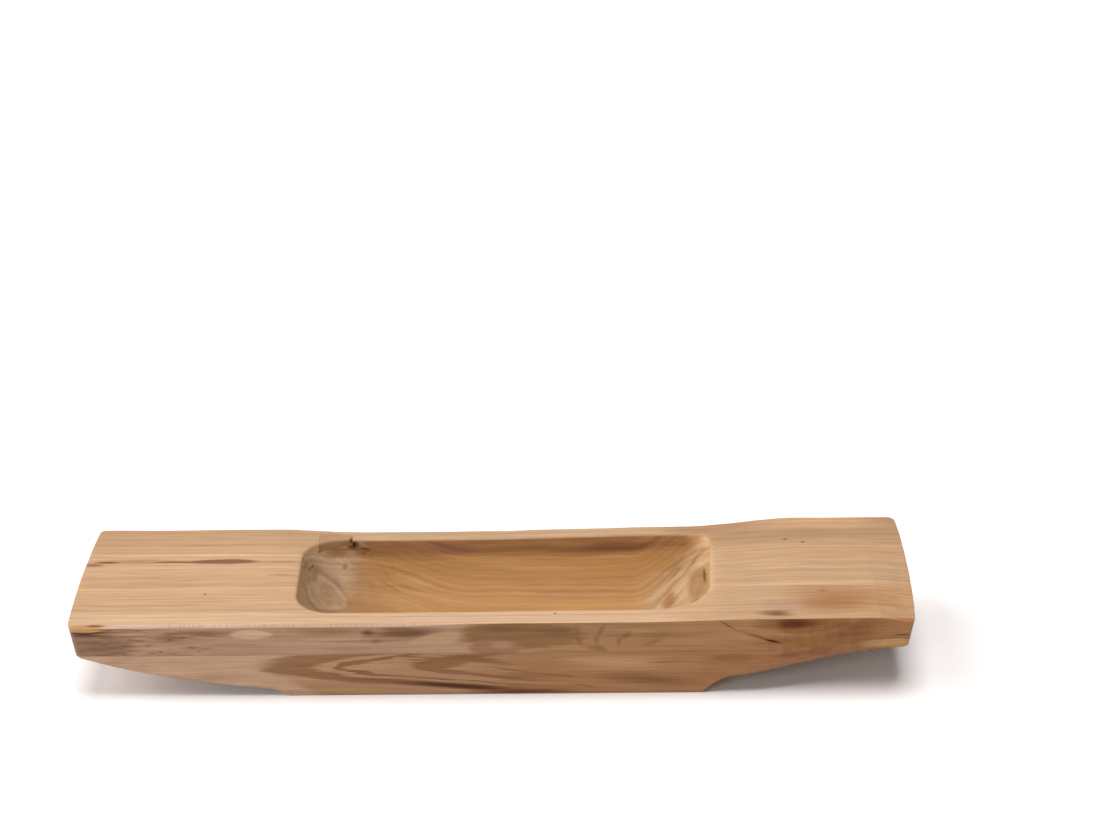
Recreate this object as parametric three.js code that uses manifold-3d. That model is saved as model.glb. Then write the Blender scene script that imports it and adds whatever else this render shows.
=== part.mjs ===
// A hand-carved wooden trough bowl, glued up from two boards and sawn, hollowed and rounded over.
// Millimetres, +Z up. The foot stands on z = 0, the length runs along X and the front faces -Y.

import * as THREE from 'three';
import { mergeVertices } from 'three/addons/utils/BufferGeometryUtils.js';
import Module from 'manifold-3d';

const wasm = await Module();
wasm.setup();

// Driving dimensions of the glued block
const LENGTH = 600; // over the two bowed ends
const WIDTH = 144; // over the widest part of the two sides
const LOWER_BOARD = 34.5; // thickness of the board with the foot and the dished floor
const UPPER_BOARD = 25.2; // thickness of the board with the rim, at its left end
const GLUE_FILM = 0.3; // thickness of the set glue in a joint

// The hollow
const LEFT_PLATFORM = 158; // solid top between the left end and the hollow
const RIGHT_PLATFORM = 141; // solid top between the right end and the hollow
const FRONT_RIM = 17.5; // width of the rim in front of the hollow, at its left end
const FRONT_RIM_GROWTH = 2.5; // how much wider it is at the right end
const BACK_RIM = 13.8; // width of the rim behind the hollow
const FLOOR_THICKNESS = 16; // wood left under the hollow
const SIDE_DRAFT = 8; // lean of the long walls over the full depth
const END_DRAFT = 14; // lean of the end walls over the full depth
const FLOOR_ROUND = 32; // reach of the round between a wall and the floor

// The corners of the hollow in plan, at its lip
const HOLLOW_FRONT_LEFT = 30;
const HOLLOW_FRONT_RIGHT = 42; // along X, and as far across as the left one
const HOLLOW_BACK_RIGHT = 16; // which broadens as the hollow goes down
const BROADENING = 0.5; // by this share of what the end wall has drawn in
const HOLLOW_BACK_LEFT = 38;
const HOLLOW_SLANT = 7.5; // how much shorter the opening is in front than behind, at its right end

// The top
const BACK_DIP = 2.9; // how far the back rim is worn below the left platform
const BACK_RISE = 5.9; // how far the right platform stands above the left one, behind
const FRONT_RISE = 1.9; // and in front
const BACK_SET_IN = 2; // how far the back side stands in along the left platform and the rim
const TIP_WEAR = 4.8; // how far the front arris is worn down at the right end
const TIP_WEAR_LENGTH = 32; // and how far that reaches in from the end
const ARRIS_CHAMFER = 2.6; // worn bevel along the left half of the front arris

// Where the top turns, as shares of the hollow's length from its left end
const FRONT_CLIMB = { startShare: 0.8, endShare: 1.1 };
const BACK_CLIMB = { startShare: 0.93, endShare: 1.22 };
const BACK_WEAR = { startShare: -0.07, fullShare: 0.14, fadingShare: 0.32, endShare: 0.93 };
const CHAMFER_FADE = { startShare: 0.25, endShare: 0.45 };

// The strip let into the back rim beside the left corner of the hollow
const PATCH_LENGTH = 24;
const PATCH_DEPTH = 7.5; // below the left platform
const PATCH_OVER_RIM = 5; // how far it reaches over the rim, behind the straight edge of the hollow
const PATCH_OFFSET = 35; // from the left wall of the hollow to the square end of the strip

// The sides and ends
const SIDE_LEAN = 3.4; // how far each side leans in from its arris to the base
const FRONT_LEFT_CORNER = 5;
const FRONT_RIGHT_CORNER = 8;
const BACK_RIGHT_CORNER = 7;
const BACK_LEFT_CORNER = 5;
// Each end is bowed in plan and a little askew: how far its two corners stand in, and its lean to the base
const LEFT_END = { frontIn: 0.6, backIn: 5, lean: 10 };
const RIGHT_END = { frontIn: 5, backIn: 1.9, lean: 4 };
const UNDERCUT = 32; // hollow carved under the front side near its right end, carried down to the base
const UNDERCUT_LENGTH = 125; // how far that hollow reaches in from the right end

// The foot and the underside, which sweeps up from a cove at each end of the foot
const FOOT_LENGTH = 293;
const FOOT_OFFSET = 0.2; // middle of the foot, to the right of the middle of the bowl
const LEFT_SWEEP = { coveLength: 18, coveHeight: 6, kneeInset: 50, kneeHeight: 15.5, endThickness: 23.4 };
const RIGHT_SWEEP = { coveLength: 26, coveHeight: 14, kneeInset: 72, kneeHeight: 25, endThickness: 33.5 };

// Smoothness
const TOP_STEPS = 24; // spans along the top, front and back outlines
const CURVE_STEPS = 6; // spans along each curve of an outline
const WALL_STEPS = 8; // spans down the round wall of the hollow
const SIDE_STEPS = 5; // spans down the sides
const OVERSHOOT = 2; // how far one outline reaches past the face that another cuts
const LARGEST_CORNER_SHARE = 0.45; // most that a corner of the opening may take of its side
const SLANT_SHARE = 0.3; // share of the slant that lies in the broad corner

const { smoothstep, lerp, degToRad } = THREE.MathUtils;
const baseOfGlue = LOWER_BOARD;
const topOfGlue = LOWER_BOARD + GLUE_FILM;
const boardTop = topOfGlue + UPPER_BOARD;
const highestTop = boardTop + BACK_RISE;
const frontArris = boardTop + FRONT_RISE;
const leftEnd = -LENGTH / 2;
const rightEnd = LENGTH / 2;
const footLeft = FOOT_OFFSET - FOOT_LENGTH / 2;
const footRight = FOOT_OFFSET + FOOT_LENGTH / 2;
const hollowLeft = leftEnd + LEFT_PLATFORM;
const hollowRight = rightEnd - RIGHT_PLATFORM;
const hollowDepth = boardTop - FLOOR_THICKNESS;

// A share of the hollow's length, as a place along X
function alongHollow(share) {
  return lerp(hollowLeft, hollowRight, share);
}

// Height of the top along its front edge, which climbs a little to the right platform
function frontTop(x) {
  const climb = smoothstep(x, alongHollow(FRONT_CLIMB.startShare), alongHollow(FRONT_CLIMB.endShare));
  const worn = smoothstep(x, rightEnd - TIP_WEAR_LENGTH, rightEnd + OVERSHOOT);
  return boardTop + FRONT_RISE * climb - TIP_WEAR * worn;
}

// How far the back has climbed from the rim to the right platform, from 0 to 1
function backClimb(x) {
  return smoothstep(x, alongHollow(BACK_CLIMB.startShare), alongHollow(BACK_CLIMB.endShare));
}

// Height of the top along its back edge: worn down along the rim, then up to the right platform
function backTop(x) {
  const wornFromLeft = smoothstep(x, alongHollow(BACK_WEAR.startShare), alongHollow(BACK_WEAR.fullShare));
  const fullAgain = smoothstep(x, alongHollow(BACK_WEAR.fadingShare), alongHollow(BACK_WEAR.endShare));
  return boardTop - BACK_DIP * wornFromLeft * (1 - fullAgain) + BACK_RISE * backClimb(x);
}

// The sawn side outline, in X and Z, with the top that the given function states
function sideOutline(topAt) {
  const outline = new THREE.Path();
  const right = RIGHT_SWEEP;
  const left = LEFT_SWEEP;
  const rightCoveEnd = footRight + right.coveLength;
  const leftCoveEnd = footLeft - left.coveLength;
  outline.moveTo(footRight, 0);
  outline.quadraticCurveTo(
    footRight + right.coveLength / 2, right.coveHeight, rightCoveEnd, right.coveHeight);
  outline.quadraticCurveTo(
    rightEnd - right.kneeInset, right.kneeHeight, rightEnd + OVERSHOOT, boardTop - right.endThickness);
  for (let step = 0; step <= TOP_STEPS; step += 1) {
    const x = lerp(rightEnd + OVERSHOOT, leftEnd - OVERSHOOT, step / TOP_STEPS);
    outline.lineTo(x, topAt(x));
  }
  outline.lineTo(leftEnd - OVERSHOOT, boardTop - left.endThickness);
  outline.quadraticCurveTo(leftEnd + left.kneeInset, left.kneeHeight, leftCoveEnd, left.coveHeight);
  outline.quadraticCurveTo(footLeft - left.coveLength / 2, left.coveHeight, footLeft, 0);
  return outline.getPoints(CURVE_STEPS);
}

// The outline seen from above, in X and Y, at the height z
function planOutline(z) {
  const left = leftEnd + (LEFT_END.lean * (boardTop - z)) / boardTop;
  const right = rightEnd - (RIGHT_END.lean * (highestTop - z)) / highestTop;
  // Control points that bring each bowed end out to its full length, wherever along the end that falls
  const leftBow = left - Math.sqrt(LEFT_END.frontIn * LEFT_END.backIn);
  const rightBow = right + Math.sqrt(RIGHT_END.frontIn * RIGHT_END.backIn);
  const leftInFront = left + LEFT_END.frontIn;
  const leftBehind = left + LEFT_END.backIn;
  const rightInFront = right - RIGHT_END.frontIn;
  const rightBehind = right - RIGHT_END.backIn;

  function frontAt(x) {
    const carved = UNDERCUT * smoothstep(x, rightEnd - UNDERCUT_LENGTH, rightEnd);
    const drop = (frontArris - z) / frontArris;
    return -WIDTH / 2 + (SIDE_LEAN + carved) * drop;
  }

  function backAt(x) {
    const drop = (highestTop - z) / highestTop;
    return WIDTH / 2 - SIDE_LEAN * drop - BACK_SET_IN * (1 - backClimb(x));
  }

  const outline = new THREE.Path();
  const frontStart = leftInFront + FRONT_LEFT_CORNER;
  const frontStop = rightInFront - FRONT_RIGHT_CORNER;
  const backStart = rightBehind - BACK_RIGHT_CORNER;
  const backStop = leftBehind + BACK_LEFT_CORNER;
  const frontRight = frontAt(frontStop);
  const backRight = backAt(backStart);
  const backLeft = backAt(backStop);
  const frontLeft = frontAt(frontStart);
  const middle = (frontLeft + backLeft) / 2;

  outline.moveTo(frontStart, frontLeft);
  for (let step = 1; step <= TOP_STEPS; step += 1) {
    const x = lerp(frontStart, frontStop, step / TOP_STEPS);
    outline.lineTo(x, frontAt(x));
  }
  outline.quadraticCurveTo(rightInFront, frontRight, rightInFront, frontRight + FRONT_RIGHT_CORNER);
  outline.quadraticCurveTo(rightBow, middle, rightBehind, backRight - BACK_RIGHT_CORNER);
  outline.quadraticCurveTo(rightBehind, backRight, backStart, backRight);
  for (let step = 1; step <= TOP_STEPS; step += 1) {
    const x = lerp(backStart, backStop, step / TOP_STEPS);
    outline.lineTo(x, backAt(x));
  }
  outline.quadraticCurveTo(leftBehind, backLeft, leftBehind, backLeft - BACK_LEFT_CORNER);
  outline.quadraticCurveTo(leftBow, middle, leftInFront, frontLeft + FRONT_LEFT_CORNER);
  outline.quadraticCurveTo(leftInFront, frontLeft, frontStart, frontLeft);
  const points = outline.getPoints(CURVE_STEPS);
  points.pop();
  return points;
}

// The opening seen from above at a share of the hollow's depth, drawn in by the two amounts
function hollowOutline(endInset, sideInset) {
  const left = hollowLeft + endInset;
  const right = hollowRight - endInset;
  const leftFront = -WIDTH / 2 + FRONT_RIM + sideInset;
  const rightFront = leftFront + FRONT_RIM_GROWTH;
  const back = WIDTH / 2 - BACK_RIM - sideInset;
  const frontRight = right - (HOLLOW_SLANT * (back - leftFront)) / (WIDTH - FRONT_RIM - BACK_RIM);
  const reach = LARGEST_CORNER_SHARE * Math.min(back - rightFront, frontRight - left);
  const frontLeftCorner = Math.min(HOLLOW_FRONT_LEFT, reach);
  const frontRightCorner = Math.min(HOLLOW_FRONT_RIGHT, reach);
  const backRightCorner = Math.min(HOLLOW_BACK_RIGHT + BROADENING * endInset, reach);
  const backLeftCorner = Math.min(HOLLOW_BACK_LEFT, reach);
  const slanted = lerp(frontRight, right, SLANT_SHARE);

  const outline = new THREE.Path();
  outline.moveTo(left + frontLeftCorner, leftFront);
  outline.lineTo(frontRight - frontRightCorner, rightFront);
  outline.quadraticCurveTo(frontRight, rightFront, slanted, rightFront + frontLeftCorner);
  outline.lineTo(right, back - backRightCorner);
  outline.quadraticCurveTo(right, back, right - backRightCorner, back);
  outline.lineTo(left + backLeftCorner, back);
  outline.quadraticCurveTo(left, back, left, back - backLeftCorner);
  outline.lineTo(left, leftFront + frontLeftCorner);
  outline.quadraticCurveTo(left, leftFront, left + frontLeftCorner, leftFront);
  const points = outline.getPoints(CURVE_STEPS);
  points.pop();
  return points;
}

// A closed body through rings of points, with a flat cap on the first and on the last
function loft(outlines, placeOf) {
  const count = outlines[0].points.length;
  const positions = [];
  const triangles = [];
  for (const { points, at } of outlines) {
    for (const point of points) {
      positions.push(...placeOf(point, at));
    }
  }
  for (let ring = 0; ring < outlines.length - 1; ring += 1) {
    for (let i = 0; i < count; i += 1) {
      const a = ring * count + i;
      const b = ring * count + ((i + 1) % count);
      triangles.push(a, b, b + count, a, b + count, a + count);
    }
  }
  const lastRing = (outlines.length - 1) * count;
  for (const [a, b, c] of THREE.ShapeUtils.triangulateShape(outlines[0].points, [])) {
    triangles.push(c, b, a);
  }
  for (const [a, b, c] of THREE.ShapeUtils.triangulateShape(outlines.at(-1).points, [])) {
    triangles.push(lastRing + a, lastRing + b, lastRing + c);
  }
  const geometry = new THREE.BufferGeometry();
  geometry.setAttribute('position', new THREE.Float32BufferAttribute(positions, 3));
  geometry.setIndex(triangles);
  return geometry;
}

// The solid of a closed geometry
function solidOf(geometry) {
  const bare = geometry.clone();
  bare.deleteAttribute('normal');
  bare.deleteAttribute('uv');
  const merged = mergeVertices(bare);
  return new wasm.Manifold(new wasm.Mesh({
    numProp: 3,
    vertProperties: new Float32Array(merged.attributes.position.array),
    triVerts: new Uint32Array(merged.index.array),
  }));
}

// The geometry of a solid
function geometryOf(solid) {
  const mesh = solid.getMesh();
  const geometry = new THREE.BufferGeometry();
  geometry.setAttribute('position', new THREE.BufferAttribute(mesh.vertProperties, 3));
  geometry.setIndex(new THREE.BufferAttribute(mesh.triVerts, 1));
  geometry.computeVertexNormals();
  return geometry;
}

// The block as the saw leaves it: the side outline and the plan outline cut through each other
function sawnBlock() {
  const farSide = WIDTH / 2 + OVERSHOOT;
  const side = loft([
    { points: sideOutline(backTop), at: farSide },
    { points: sideOutline(frontTop), at: -farSide },
  ], (point, y) => [point.x, y, point.y]);
  const heights = [highestTop + OVERSHOOT];
  for (let step = 0; step <= SIDE_STEPS; step += 1) {
    heights.unshift(lerp(frontArris, -OVERSHOOT, step / SIDE_STEPS));
  }
  const levels = heights.map((z) => ({ points: planOutline(z), at: z }));
  const plan = loft(levels, (point, z) => [point.x, point.y, z]);
  return solidOf(side).intersect(solidOf(plan));
}

// What the gouge takes out: leaning walls that round into a flat floor
function hollow() {
  const above = highestTop + OVERSHOOT;
  const aboveShare = (boardTop - above) / hollowDepth;
  const levels = [{ points: hollowOutline(END_DRAFT * aboveShare, SIDE_DRAFT * aboveShare), at: above }];
  for (let step = 0; step <= WALL_STEPS; step += 1) {
    const turn = degToRad((90 * step) / WALL_STEPS);
    const depthShare = Math.sin(turn);
    const round = FLOOR_ROUND * (1 - Math.cos(turn));
    levels.push({
      points: hollowOutline(END_DRAFT * depthShare + round, SIDE_DRAFT * depthShare + round),
      at: boardTop - hollowDepth * depthShare,
    });
  }
  return solidOf(loft(levels.reverse(), (point, z) => [point.x, point.y, z]));
}

// The worn bevel on the front arris, full from the left end and dying out before mid-length
function arrisBevel() {
  const arrisAt = -WIDTH / 2;
  function section(size) {
    return [
      new THREE.Vector2(arrisAt - OVERSHOOT, boardTop - size - OVERSHOOT),
      new THREE.Vector2(arrisAt + size + OVERSHOOT, boardTop + OVERSHOOT),
      new THREE.Vector2(arrisAt - OVERSHOOT, boardTop + OVERSHOOT),
    ];
  }
  return solidOf(loft([
    { points: section(ARRIS_CHAMFER), at: leftEnd - OVERSHOOT },
    { points: section(ARRIS_CHAMFER), at: alongHollow(CHAMFER_FADE.startShare) },
    { points: section(0), at: alongHollow(CHAMFER_FADE.endShare) },
  ], (point, x) => [x, point.x, point.y]));
}

// A plain box between two corners
function boxBetween(low, high) {
  const box = new THREE.BoxGeometry(high[0] - low[0], high[1] - low[1], high[2] - low[2]);
  box.translate((low[0] + high[0]) / 2, (low[1] + high[1]) / 2, (low[2] + high[2]) / 2);
  return solidOf(box);
}

// The box that the let-in strip fills, or with a margin the socket that is cut for it
function patchBox(margin) {
  const squareEnd = hollowLeft + PATCH_OFFSET;
  const rimBehind = WIDTH / 2 - BACK_RIM + PATCH_OVER_RIM;
  return boxBetween(
    [squareEnd - PATCH_LENGTH - margin, 0, boardTop - PATCH_DEPTH - margin],
    [squareEnd + margin, rimBehind + margin, highestTop + OVERSHOOT],
  );
}

const carved = sawnBlock().subtract(hollow()).subtract(arrisBevel());
const patch = patchBox(0);
const socket = patchBox(GLUE_FILM);

// What the carved block holds between two heights
function layer(bottom, top) {
  const reach = LENGTH + WIDTH;
  return carved.intersect(boxBetween([-reach, -reach, bottom], [reach, reach, top]));
}

const upperWood = new THREE.MeshStandardMaterial({ color: 0xc79a6b, roughness: 0.62, metalness: 0 });
const lowerWood = new THREE.MeshStandardMaterial({ color: 0xb07f55, roughness: 0.62, metalness: 0 });
const patchWood = new THREE.MeshStandardMaterial({ color: 0xbf8a5f, roughness: 0.62, metalness: 0 });
const setGlue = new THREE.MeshStandardMaterial({ color: 0x6e4a30, roughness: 0.45, metalness: 0 });

const bowl = new THREE.Group();

function addPart(name, solid, material) {
  const mesh = new THREE.Mesh(geometryOf(solid), material);
  mesh.name = name;
  bowl.add(mesh);
}

addPart('lower_board', layer(-OVERSHOOT, baseOfGlue), lowerWood);
addPart('board_glue', layer(baseOfGlue, topOfGlue), setGlue);
addPart('upper_board', layer(topOfGlue, highestTop + OVERSHOOT).subtract(socket), upperWood);
addPart('rim_patch', carved.intersect(patch), patchWood);
addPart('patch_glue', carved.intersect(socket).subtract(patch), setGlue);

export default bowl;
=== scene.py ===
import math

import bmesh
import bpy
from mathutils import Euler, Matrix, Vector
from mathutils.kdtree import KDTree


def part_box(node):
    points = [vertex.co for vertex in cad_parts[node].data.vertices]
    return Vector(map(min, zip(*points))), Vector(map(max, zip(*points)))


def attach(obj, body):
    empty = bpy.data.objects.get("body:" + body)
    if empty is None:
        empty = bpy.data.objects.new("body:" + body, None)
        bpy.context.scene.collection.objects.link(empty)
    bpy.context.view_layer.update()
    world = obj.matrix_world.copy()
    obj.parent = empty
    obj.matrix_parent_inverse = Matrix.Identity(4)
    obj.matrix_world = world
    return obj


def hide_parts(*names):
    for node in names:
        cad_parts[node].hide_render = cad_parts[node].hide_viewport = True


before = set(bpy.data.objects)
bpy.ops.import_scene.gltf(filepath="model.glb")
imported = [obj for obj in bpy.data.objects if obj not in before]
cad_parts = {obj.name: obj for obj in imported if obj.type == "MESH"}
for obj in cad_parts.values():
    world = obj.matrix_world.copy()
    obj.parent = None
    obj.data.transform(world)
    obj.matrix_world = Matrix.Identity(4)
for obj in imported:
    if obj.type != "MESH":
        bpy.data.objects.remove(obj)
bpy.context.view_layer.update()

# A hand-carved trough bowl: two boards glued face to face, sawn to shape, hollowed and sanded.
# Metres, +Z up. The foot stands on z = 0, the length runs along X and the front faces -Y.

MM = 0.001
SPARE = 20 * MM


# Sizes taken from the frame

upper_low, upper_high = (Vector(corner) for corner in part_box("upper_board"))
glue_low, glue_high = (Vector(corner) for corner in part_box("board_glue"))
patch_low, patch_high = (Vector(corner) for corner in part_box("rim_patch"))
socket_low, socket_high = (Vector(corner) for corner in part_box("patch_glue"))

LEFT_END = upper_low.x
RIGHT_END = upper_high.x
FRONT = upper_low.y
BACK = upper_high.y
HIGHEST = upper_high.z
GLUE_BOTTOM = glue_low.z
GLUE_TOP = glue_high.z

# Sizes of the sawn block

BOARD_TOP = 60 * MM
FRONT_RISE = 1.9 * MM
BACK_RISE = 5.9 * MM
BACK_DIP = 2.9 * MM
BACK_SET_IN = 2 * MM
SIDE_LEAN = 3.4 * MM
# Each end: how far its front and back corners stand in, and how far it leans in to the base
LEFT_SKEW = (0.4 * MM, 5 * MM, 10 * MM)
RIGHT_SKEW = (4.8 * MM, 1.7 * MM, 4 * MM)
TIP_WEAR = 4.8 * MM
TIP_WEAR_LENGTH = 32 * MM
UNDERCUT = 32 * MM
UNDERCUT_LENGTH = 125 * MM
ARRIS_BEVEL = 2.6 * MM
# Where the top climbs to the right platform, where the back rim is worn and where the bevel dies out,
# as shares of the hollow's length from its left end
FRONT_CLIMB = (0.8, 1.1)
BACK_CLIMB = (0.93, 1.22)
BACK_WEAR = (-0.07, 0.14, 0.32, 0.93)
BEVEL_FADE = (0.25, 0.45)
CORNERS = {"front_left": 4 * MM, "front_right": 7 * MM, "back_right": 6 * MM, "back_left": 4 * MM}

FOOT_LEFT = -146.3 * MM
FOOT_RIGHT = 146.7 * MM
# Each sweep: cove length and height, then knee and end, outwards from the foot and above the base
LEFT_SWEEP = (18 * MM, 6 * MM, 103.7 * MM, 15.5 * MM, 155.7 * MM, 36.6 * MM)
RIGHT_SWEEP = (26 * MM, 14 * MM, 81.3 * MM, 25 * MM, 155.3 * MM, 26.5 * MM)

# Sizes of the hollow

HOLLOW_LEFT = LEFT_END + 158 * MM
HOLLOW_RIGHT = RIGHT_END - 140.8 * MM
HOLLOW_FRONT = FRONT + 17.5 * MM
HOLLOW_BACK = BACK - 13.8 * MM
HOLLOW_LENGTH = HOLLOW_RIGHT - HOLLOW_LEFT
HOLLOW_WIDTH = HOLLOW_BACK - HOLLOW_FRONT
HOLLOW_SLANT = 7.5 * MM
HOLLOW_TAPER = 2.5 * MM
HOLLOW_CORNERS = {"front_left": 26 * MM, "front_right": 36 * MM, "back_right": 13 * MM, "back_left": 33 * MM}
FLOOR_THICKNESS = 16 * MM
SIDE_DRAFT = 8 * MM
END_DRAFT = 14 * MM
FLOOR_ROUND = 32 * MM

# The corner of the hollow that is rounded out by hand, from its right end and its back, below the mouth
TIGHT_CORNER = (90 * MM, 70 * MM)
MOUTH_KEPT = 4 * MM

# How far the boxes that cut the socket and the strip reach out over the hollow and above the top
SOCKET_REACH = (40 * MM, 5 * MM)
STRIP_REACH = (45 * MM, 6 * MM)

# The sanded surface

SOFT_RIM = 3.2 * MM
SOFT_RIGHT_END = 24 * MM
HAND_WAVE = 0.7 * MM
WAVE_LENGTH = 45 * MM
WAVED_FROM = 8 * MM
SMOOTH_ANGLE = math.radians(35)

# What counts as close to an end, as an upright edge and as a corner
NEAR_END = 8 * MM
UPRIGHT_RISE = 10 * MM
CORNER_ANGLE = math.radians(50)

# How finely the outlines and curves are cut, and how far short of the tips the cuts stop

TIP_MARGIN = 12 * MM
COVE_CUTS = 6
SWEEP_CUTS = 12
FOOT_CUTS = 18
CROSS_CUTS = 6
CORNER_CUTS = 6
MOUTH_CUTS = 10
WALL_CUTS = 14


def ease(x, low, high):
    """0 below low, 1 above high and a smooth climb between them."""
    share = min(max((x - low) / (high - low), 0), 1)
    return share * share * (3 - 2 * share)


def mix(a, b, share):
    return a + (b - a) * share


def along_hollow(share):
    return mix(HOLLOW_LEFT, HOLLOW_RIGHT, share)


def back_climb(x):
    return ease(x, *map(along_hollow, BACK_CLIMB))


def front_top(x):
    """Height of the top along the front side."""
    climb = ease(x, *map(along_hollow, FRONT_CLIMB))
    worn = ease(x, RIGHT_END - TIP_WEAR_LENGTH, RIGHT_END + 2 * MM)
    return BOARD_TOP + FRONT_RISE * climb - TIP_WEAR * worn


def back_top(x):
    """Height of the top along the back: worn down along the rim, then up to the right platform."""
    start, full, fading, end = map(along_hollow, BACK_WEAR)
    worn = ease(x, start, full) * (1 - ease(x, fading, end))
    return BOARD_TOP - BACK_DIP * worn + BACK_RISE * back_climb(x)


def underside(x):
    """Height of the underside: the flat foot, a cove at each of its ends and the sweep to the tip."""
    if FOOT_LEFT <= x <= FOOT_RIGHT:
        return 0
    outward, sweep = (x - FOOT_RIGHT, RIGHT_SWEEP) if x > 0 else (FOOT_LEFT - x, LEFT_SWEEP)
    cove_length, cove_height, knee, knee_height, end, end_height = sweep
    if outward < cove_length:
        return cove_height * (1 - (1 - outward / cove_length) ** 2)
    a = cove_length - 2 * knee + end
    b = knee - cove_length
    share = (math.sqrt(b * b - a * (cove_length - outward)) - b) / a
    lower = mix(cove_height, knee_height, share)
    return mix(lower, mix(knee_height, end_height, share), share)


# Shaping by hand

def box(name, low, high):
    """A new box between two corners, selected and ready to be shaped."""
    low, high = Vector(low), Vector(high)
    bpy.ops.object.select_all(action="DESELECT")
    bpy.ops.mesh.primitive_cube_add(size=1, location=(low + high) / 2)
    piece = bpy.context.object
    piece.name = name
    piece.data.name = name
    piece.scale = high - low
    bpy.ops.object.transform_apply(location=True, rotation=True, scale=True)
    return piece


def take(piece):
    """Makes a piece the only one selected."""
    bpy.ops.object.select_all(action="DESELECT")
    bpy.context.view_layer.objects.active = piece
    piece.select_set(True)


def copy_of(piece, name):
    twin = piece.copy()
    twin.data = piece.data.copy()
    twin.name = name
    twin.data.name = name
    bpy.context.collection.objects.link(twin)
    return twin


def edit(piece, kind):
    """Enters edit mode with nothing selected, to choose VERT, EDGE or FACE."""
    take(piece)
    bpy.ops.object.mode_set(mode="EDIT")
    bpy.ops.mesh.select_mode(type=kind)
    bpy.ops.mesh.select_all(action="DESELECT")


def leave():
    bpy.ops.object.mode_set(mode="OBJECT")


def choose(kind, wanted):
    """Selects the verts, edges or faces that pass the test."""
    bpy.ops.mesh.select_all(action="DESELECT")
    mesh = bmesh.from_edit_mesh(bpy.context.object.data)
    for item in getattr(mesh, kind):
        if wanted(item):
            item.select = True
    mesh.select_flush_mode()
    bmesh.update_edit_mesh(bpy.context.object.data)


def slice_at(point, normal, **options):
    """Cuts all of the piece in edit mode with a plane."""
    bpy.ops.mesh.select_all(action="SELECT")
    bpy.ops.mesh.bisect(plane_co=point, plane_no=normal, **options)


def finish_with(piece, kind, **settings):
    """Adds one modifier with its settings and applies it."""
    take(piece)
    modifier = piece.modifiers.new(kind.title(), kind)
    for name, value in settings.items():
        setattr(modifier, name, value)
    bpy.ops.object.modifier_apply(modifier=modifier.name)


def cut_with(piece, cutter, operation="DIFFERENCE", solver="MANIFOLD"):
    """Cuts a piece with another one, which is used up."""
    finish_with(piece, "BOOLEAN", object=cutter, operation=operation, solver=solver)
    bpy.data.objects.remove(cutter, do_unlink=True)


def middle_of(edge):
    return (edge.verts[0].co + edge.verts[1].co) / 2


def rise_of(edge):
    return abs(edge.verts[0].co.z - edge.verts[1].co.z)


# The block as the saw leaves it

def saw_stations():
    """Where the block is cut across, close together where an outline turns."""
    stations = []
    for foot_end, way, sweep in ((FOOT_LEFT, -1, LEFT_SWEEP), (FOOT_RIGHT, 1, RIGHT_SWEEP)):
        cove_length, sweep_end = sweep[0], sweep[4] - TIP_MARGIN
        for step in range(COVE_CUTS + 1):
            stations.append(foot_end + way * cove_length * step / COVE_CUTS)
        for step in range(1, SWEEP_CUTS + 1):
            stations.append(foot_end + way * mix(cove_length, sweep_end, step / SWEEP_CUTS))
    stations += [mix(FOOT_LEFT, FOOT_RIGHT, step / FOOT_CUTS) for step in range(1, FOOT_CUTS)]
    return sorted(stations)


def shape_section(x):
    """Moves the four corners of one cross-section to the sawn outlines."""
    lean_in = 0
    if x == LEFT_END:
        lean_in = LEFT_SKEW[2] * (1 - underside(x) / BOARD_TOP)
    if x == RIGHT_END:
        lean_in = -RIGHT_SKEW[2] * (1 - underside(x) / HIGHEST)
    low = underside(x + lean_in)
    front_arris = BOARD_TOP + FRONT_RISE
    carved = UNDERCUT * ease(x, RIGHT_END - UNDERCUT_LENGTH, RIGHT_END)
    front_in = (SIDE_LEAN + carved) * (front_arris - low) / front_arris
    back_in = BACK_SET_IN * (1 - back_climb(x))
    base_in = back_in + SIDE_LEAN * (HIGHEST - low) / HIGHEST

    def move_corner(in_front, at_base, move):
        def wanted(vert):
            here = abs(vert.co.x - x) < MM / 100
            return here and (vert.co.y < 0) == in_front and (vert.co.z < BOARD_TOP / 2) == at_base
        choose("verts", wanted)
        bpy.ops.transform.translate(value=move)

    move_corner(True, False, (0, 0, front_top(x) - HIGHEST))
    move_corner(False, False, (0, -back_in, back_top(x) - HIGHEST))
    move_corner(True, True, (lean_in, front_in, low))
    move_corner(False, True, (lean_in, -base_in, low))


def bow_the_ends(rows):
    """Draws both ends in, row by row, so that each is bowed in plan and a little askew."""
    for end, (front_in, back_in, _lean), way in ((LEFT_END, LEFT_SKEW, 1), (RIGHT_END, RIGHT_SKEW, -1)):
        for row, y in enumerate(rows):
            share = row / (len(rows) - 1)
            inward = (math.sqrt(front_in) * (1 - share) - math.sqrt(back_in) * share) ** 2

            def wanted(vert):
                nearest = min(rows, key=lambda other: abs(other - vert.co.y))
                return abs(vert.co.x - end) < NEAR_END and nearest == y

            choose("verts", wanted)
            bpy.ops.transform.translate(value=(way * inward, 0, 0))


def round_the_corners(block):
    """Rounds the four upright corners, each to its own radius."""
    edit(block, "EDGE")
    for name, radius in CORNERS.items():
        side = FRONT if "front" in name else BACK
        end = LEFT_END if "left" in name else RIGHT_END

        def upright(edge):
            middle = middle_of(edge)
            near = abs(middle.x - end) < NEAR_END and abs(middle.y - side) < UNDERCUT
            if not near or rise_of(edge) < UPRIGHT_RISE or len(edge.link_faces) != 2:
                return False
            return edge.calc_face_angle() > CORNER_ANGLE

        choose("edges", upright)
        bpy.ops.mesh.bevel(offset=radius, segments=CORNER_CUTS, profile=0.5, affect="EDGES")
    leave()


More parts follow.
